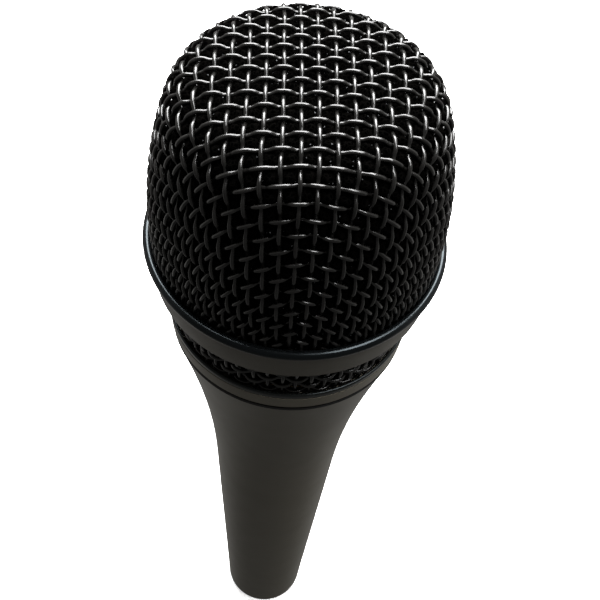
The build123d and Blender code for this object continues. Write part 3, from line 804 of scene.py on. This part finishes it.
def make_neck():
    """Ring in the handle's mouth with the outside thread that the collar screws onto."""
    low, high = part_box("neck_ring")
    crest = high.x
    bore = 14.6 * MM
    skirt = 16.98 * MM
    relief = 17.7 * MM
    thread_foot = high.z - 3.0 * MM
    shoulder = thread_foot - 0.8 * MM
    rows = np.linspace(thread_foot, high.z - 0.3 * MM, 40)
    outline = [(bore, low.z), (skirt, low.z), (skirt, shoulder), (relief, shoulder)]
    outline.append((relief, thread_foot - 0.02 * MM))
    first = len(outline)
    outline += [(crest, height) for height in rows]
    outline += [(crest - 0.3 * MM, high.z), (bore, high.z)]

    def wobble(angle, radius, height):
        turns = height / THREAD_PITCH - angle / (2 * math.pi)
        ridge = np.abs(2 * (turns % 1) - 1)
        shift = np.zeros_like(radius)
        last = first + len(rows)
        shift[first:last] = -THREAD_DEPTH * np.clip(1.3 * ridge[first:last] - 0.15, 0, 1)
        return shift, np.zeros_like(height)

    vertices, faces = turned(outline, THREAD_STEPS, wobble)
    piece = new_piece("neck_ring_threaded", vertices, faces, BRASS, "handle")
    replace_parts(piece, "neck_ring")


make_neck()

# ---------------------------------------------------------------- soft parts, handle to capsule


def bending_copy(node, name):
    """A copy of a CAD node's mesh, put in the node's place."""
    piece = bpy.data.objects.new(name, nodes[node].data.copy())
    bpy.context.scene.collection.objects.link(piece)
    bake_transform(piece)
    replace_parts(piece, node)


def make_bending_parts():
    bending_copy("shock_mount_upper", "upper_shock_rubber")
    for node, name, slot in (
        ("signal_lead_hot", "hot_wire", "lead_red"),
        ("signal_lead_cold", "cold_wire", "lead_blue"),
        ("earth_lead", "earth_wire", "lead_black"),
    ):
        bending_copy(node, name)


make_bending_parts()

# ---------------------------------------------------------------- floor and light

PAPER_GLOW = 0.6
ROOM_DARK = 0.12
ROOM_BRIGHT = 0.42
COVE_FLAT_R = 2.0
COVE_BEND_R = 1.0
COVE_HEIGHT = 2.2


def make_floor():
    """Pale paper floor that curves up into a wall all round, out of the main picture."""
    bend = [math.pi / 2 * step / 12 for step in range(13)]
    outline = [(0.05, 0.0)]
    outline += [
        (COVE_FLAT_R + COVE_BEND_R * math.sin(turn), COVE_BEND_R * (1 - math.cos(turn)))
        for turn in bend
    ]
    outline += [(COVE_FLAT_R + COVE_BEND_R, COVE_HEIGHT)]
    steps = 96
    vertices = [(0.0, 0.0, 0.0)]
    for radius, height in outline:
        for step in range(steps):
            angle = 2 * math.pi * step / steps
            vertices.append((radius * math.cos(angle), radius * math.sin(angle), height))
    faces = [(0, 1 + step, 1 + (step + 1) % steps) for step in range(steps)]
    for row in range(len(outline) - 1):
        for step in range(steps):
            a, b = 1 + row * steps + step, 1 + row * steps + (step + 1) % steps
            faces.append((a, a + steps, b + steps, b))
    mesh = bpy.data.meshes.new("floor")
    mesh.from_pydata(vertices, [], faces)
    mesh.shade_smooth()
    floor = bpy.data.objects.new("floor", mesh)
    bpy.context.scene.collection.objects.link(floor)
    paper = Surface("pale_paper", (0.9, 0.9, 0.9), 0.9, Specular_IOR_Level=0.0,
                    Emission_Color=(1, 1, 1, 1), Emission_Strength=PAPER_GLOW)
    paper.colour(paper.mottle(paper.noise(40 * MM), (1, 1, 1), 0.88, 0.92))
    mesh.materials.append(paper.material)
    # the paper is lit for the camera only, so that it doesn't light the dark paint from below
    floor.visible_glossy = False
    floor.visible_diffuse = False
    floor.visible_shadow = False


def softbox(name, place, target, size, radiance, colour=(1, 1, 1)):
    """A rectangular area light aimed at a point, out of the camera's sight."""
    light = bpy.data.lights.new(name, "AREA")
    light.shape = "RECTANGLE"
    light.size, light.size_y = size
    light.energy = radiance * math.pi * size[0] * size[1]
    light.color = colour
    holder = bpy.data.objects.new(name, light)
    direction = Vector(target) - Vector(place)
    holder.rotation_mode = "QUATERNION"
    holder.rotation_quaternion = direction.to_track_quat("-Z", "Y")
    holder.location = place
    holder.visible_camera = False
    bpy.context.scene.collection.objects.link(holder)


def make_world():
    """A room that is bright behind the microphone and dim behind the camera and overhead."""
    world = bpy.data.worlds.new("studio")
    world.use_nodes = True
    tree = world.node_tree
    background = tree.nodes["Background"]
    background.inputs["Color"].default_value = (1, 0.98, 0.94, 1)
    place = tree.nodes.new("ShaderNodeTexCoord")
    split = tree.nodes.new("ShaderNodeSeparateXYZ")
    side = tree.nodes.new("ShaderNodeMath")
    side.operation = "ABSOLUTE"
    backness = tree.nodes.new("ShaderNodeMath")
    backness.operation = "MULTIPLY_ADD"
    backness.inputs[1].default_value = 0.5
    strength = tree.nodes.new("ShaderNodeMapRange")
    strength.interpolation_type = "SMOOTHSTEP"
    limits = (("From Min", 0.0), ("From Max", 0.55), ("To Min", ROOM_DARK), ("To Max", ROOM_BRIGHT))
    for socket, number in limits:
        strength.inputs[socket].default_value = number
    for start, end in (
        (place.outputs["Generated"], split.inputs[0]),
        (split.outputs["X"], side.inputs[0]),
        (side.outputs[0], backness.inputs[0]),
        (split.outputs["Y"], backness.inputs[2]),
        (backness.outputs[0], strength.inputs["Value"]),
        (strength.outputs["Result"], background.inputs["Strength"]),
    ):
        tree.links.new(start, end)
    bpy.context.scene.world = world
    bpy.context.scene.view_settings.view_transform = "Standard"


def make_light():
    grille = (0, 0, 0.165)
    softbox("back", (0.0, 0.52, 0.72), grille, (0.8, 0.45), 26.0)
    softbox("overhead", (0.0, 0.22, 0.92), grille, (0.5, 0.3), 22.0)
    softbox("top_right", (0.33, -0.05, 0.90), grille, (0.4, 0.25), 20.0)


make_floor()
make_world()
make_light()
